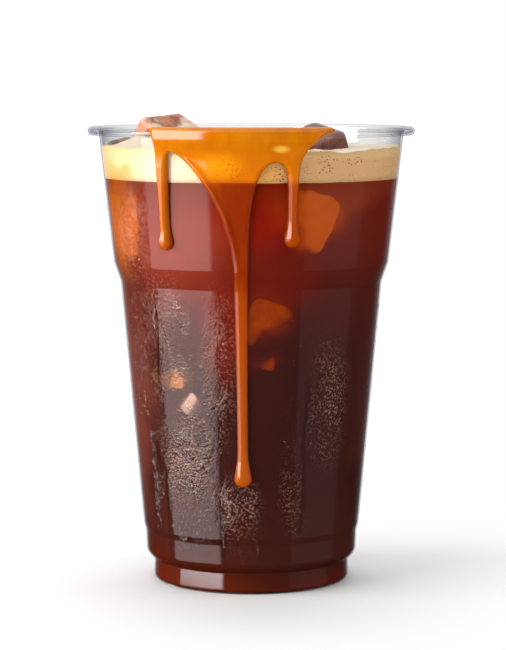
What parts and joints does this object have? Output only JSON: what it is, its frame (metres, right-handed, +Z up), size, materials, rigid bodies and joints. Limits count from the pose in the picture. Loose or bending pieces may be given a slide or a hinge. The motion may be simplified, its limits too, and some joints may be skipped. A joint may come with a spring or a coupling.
{
  "type": "iced coffee",
  "caption": "Clear flared plastic cup of dark iced coffee with pale foam, floating ice and a caramel pour running over the rim and down the outside in drips.",
  "frame": {"origin": "centre of the cup's base, on the surface it stands on", "axes": "+Z up along the cup's axis; the caramel pour is on the -Y side; +X to the right seen from that side"},
  "size_m": [0.0948, 0.0958, 0.1361],
  "materials": {
    "cup": "clear thermoformed plastic",
    "coffee": "dark red-brown liquid",
    "foam": "fine milk foam",
    "ice": "wet clear ice with frosted edges",
    "caramel": "glossy translucent syrup"
  },
  "bodies": {
    "root": {"cup": "cup", "coffee": "coffee", "foam": "foam", "left_ice": "ice", "right_ice": "ice", "edge_ice": "ice", "caramel": "caramel"}
  },
  "joints": []
}
